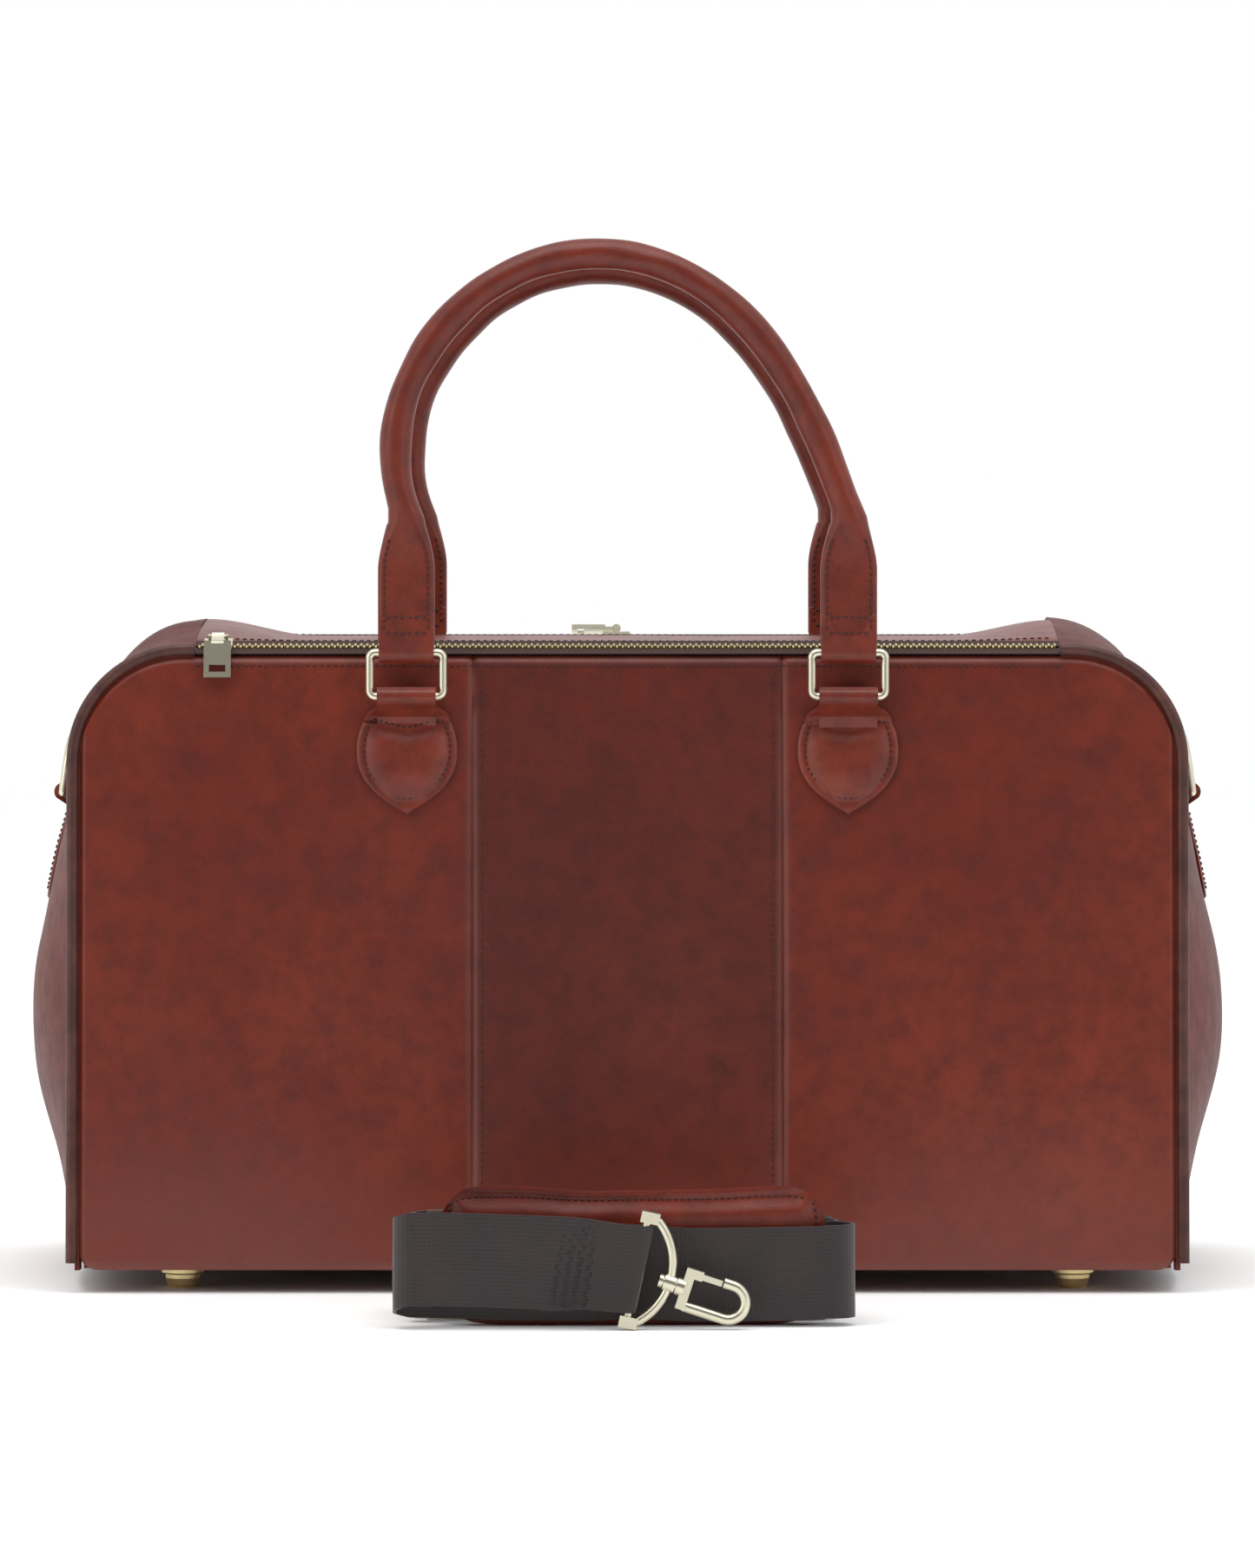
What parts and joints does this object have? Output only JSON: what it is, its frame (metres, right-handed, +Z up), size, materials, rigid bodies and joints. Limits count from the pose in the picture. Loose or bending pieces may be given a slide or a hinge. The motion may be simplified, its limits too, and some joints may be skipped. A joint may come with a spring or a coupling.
{
  "type": "weekender bag",
  "caption": "Leather weekender bag with twin top zips, rolled handles on metal loops, piped panels, end rings and a folded padded shoulder strap.",
  "frame": {"origin": "on the floor under the middle of the base, at the bottom of the middle foot", "axes": "+X to the bag's right along its length, -Y towards its front, +Z up"},
  "size_m": [0.52, 0.3851, 0.4465],
  "materials": {
    "body_leather": "smooth waxed leather, semi-gloss",
    "trim_leather": "smooth vegetable-tanned leather",
    "piping_leather": "worn leather piping",
    "lining_cloth": "woven cotton lining",
    "stiffener": "fibre board",
    "tape_cloth": "woven zip tape",
    "webbing_cloth": "woven strap webbing",
    "rope_core": "cotton rope core",
    "brass_metal": "polished brass",
    "pale_metal": "polished pale-gold nickel"
  },
  "bodies": {
    "bag": {"front_panel_left": "body_leather", "front_panel_middle": "body_leather", "front_panel_right": "body_leather", "back_panel_left": "body_leather", "back_panel_middle": "body_leather", "back_panel_right": "body_leather", "end_gusset_left": "body_leather", "end_gusset_right": "body_leather", "top_strip": "body_leather", "base_panel": "body_leather", "base_board": "stiffener", "divider": "lining_cloth", "lining": "lining_cloth", "piping_front": "piping_leather", "piping_back": "piping_leather", "feet": "brass_metal", "foot_washers": "brass_metal", "zip_tape_front": "tape_cloth", "zip_tape_back": "tape_cloth", "zip_teeth_front": "brass_metal", "zip_teeth_back": "brass_metal", "chape_front_left": "trim_leather", "chape_front_right": "trim_leather", "chape_back_left": "trim_leather", "chape_back_right": "trim_leather", "end_tab_left": "trim_leather", "end_tab_right": "trim_leather"},
    "slider_front": {"slider_front": "brass_metal"},
    "puller_front": {"puller_front": "pale_metal"},
    "slider_back": {"slider_back": "brass_metal"},
    "puller_back": {"puller_back": "pale_metal"},
    "loop_front_left": {"loop_front_left": "pale_metal"},
    "loop_front_right": {"loop_front_right": "pale_metal"},
    "loop_back_left": {"loop_back_left": "pale_metal"},
    "loop_back_right": {"loop_back_right": "pale_metal"},
    "handle_front": {"handle_grip_front": "body_leather", "handle_core_front": "rope_core", "handle_ends_front": "trim_leather"},
    "handle_back": {"handle_grip_back": "body_leather", "handle_core_back": "rope_core", "handle_ends_back": "trim_leather"},
    "end_ring_left": {"end_ring_left": "pale_metal"},
    "end_ring_right": {"end_ring_right": "pale_metal"},
    "strap": {"strap_webbing": "webbing_cloth", "shoulder_pad": "body_leather", "pad_keepers": "body_leather", "strap_adjuster": "pale_metal", "strap_ring_front": "pale_metal", "strap_ring_rear": "pale_metal"},
    "hook_front": {"hook_front": "pale_metal"},
    "hook_rear": {"hook_rear": "pale_metal"},
    "hook_gate_front": {"hook_gate_front": "pale_metal"},
    "hook_gate_rear": {"hook_gate_rear": "pale_metal"}
  },
  "joints": [
    {"name": "front_zip_slide", "type": "slide", "parent": "bag", "child": "slider_front", "axis": [1, 0, 0], "range_m": [0, 0.348]},
    {"name": "front_puller_swing", "type": "hinge", "parent": "slider_front", "child": "puller_front", "pos_m": [-0.174, -0.09325, 0.27796], "axis": [-1, 0, 0], "range_deg": [0, 185]},
    {"name": "back_zip_slide", "type": "slide", "parent": "bag", "child": "slider_back", "axis": [1, 0, 0], "range_m": [-0.169, 0.179]},
    {"name": "back_puller_swing", "type": "hinge", "parent": "slider_back", "child": "puller_back", "pos_m": [-0.005, 0.09325, 0.27796], "axis": [0, 0.9511, -0.309], "range_deg": [0, 170]},
    {"name": "loop_front_left_swing", "type": "hinge", "parent": "bag", "child": "loop_front_left", "pos_m": [-0.0935, -0.113, 0.253], "axis": [1, 0, 0], "range_deg": [0, 80]},
    {"name": "loop_front_right_swing", "type": "hinge", "parent": "bag", "child": "loop_front_right", "pos_m": [0.0935, -0.113, 0.253], "axis": [1, 0, 0], "range_deg": [0, 80]},
    {"name": "handle_front_swing", "type": "hinge", "parent": "loop_front_left", "child": "handle_front", "pos_m": [-0.0935, -0.113, 0.2715], "axis": [1, 0, 0], "range_deg": [-35, 90]},
    {"name": "loop_back_left_swing", "type": "hinge", "parent": "bag", "child": "loop_back_left", "pos_m": [-0.0935, 0.113, 0.253], "axis": [-1, 0, 0], "range_deg": [0, 80]},
    {"name": "loop_back_right_swing", "type": "hinge", "parent": "bag", "child": "loop_back_right", "pos_m": [0.0935, 0.113, 0.253], "axis": [-1, 0, 0], "range_deg": [0, 80]},
    {"name": "handle_back_swing", "type": "hinge", "parent": "loop_back_left", "child": "handle_back", "pos_m": [-0.0935, 0.113, 0.2715], "axis": [-1, 0, 0], "range_deg": [-35, 90]},
    {"name": "end_ring_left_swing", "type": "hinge", "parent": "bag", "child": "end_ring_left", "pos_m": [-0.246, 0, 0.209], "axis": [0, -1, 0], "range_deg": [0, 140]},
    {"name": "end_ring_right_swing", "type": "hinge", "parent": "bag", "child": "end_ring_right", "pos_m": [0.246, 0, 0.209], "axis": [0, 1, 0], "range_deg": [0, 140]},
    {"name": "strap_lift", "type": "slide", "parent": "bag", "child": "strap", "axis": [0, 0, 1], "range_m": [0, 0.18]},
    {"name": "hook_front_swivel", "type": "hinge", "parent": "strap", "child": "hook_front", "pos_m": [0.01696, -0.262, 0.01896], "axis": [0.9511, 0, -0.309], "continuous": true},
    {"name": "hook_gate_front_swing", "type": "hinge", "parent": "hook_front", "child": "hook_gate_front", "pos_m": [0.02886, -0.262, 0.02193], "axis": [0, 1, 0], "range_deg": [0, 30], "stiffness_Nm_per_rad": 0.01, "springref_deg": -20.05},
    {"name": "hook_rear_swivel", "type": "hinge", "parent": "strap", "child": "hook_rear", "pos_m": [0.01696, -0.193, 0.01896], "axis": [0.9511, 0, -0.309], "continuous": true},
    {"name": "hook_gate_rear_swing", "type": "hinge", "parent": "hook_rear", "child": "hook_gate_rear", "pos_m": [0.02886, -0.193, 0.02193], "axis": [0, 1, 0], "range_deg": [0, 30], "stiffness_Nm_per_rad": 0.01, "springref_deg": -20.05}
  ],
  "couplings": [
    {"joint": "loop_front_right_swing", "follows": "loop_front_left_swing", "ratio": 1},
    {"joint": "loop_back_right_swing", "follows": "loop_back_left_swing", "ratio": 1}
  ]
}
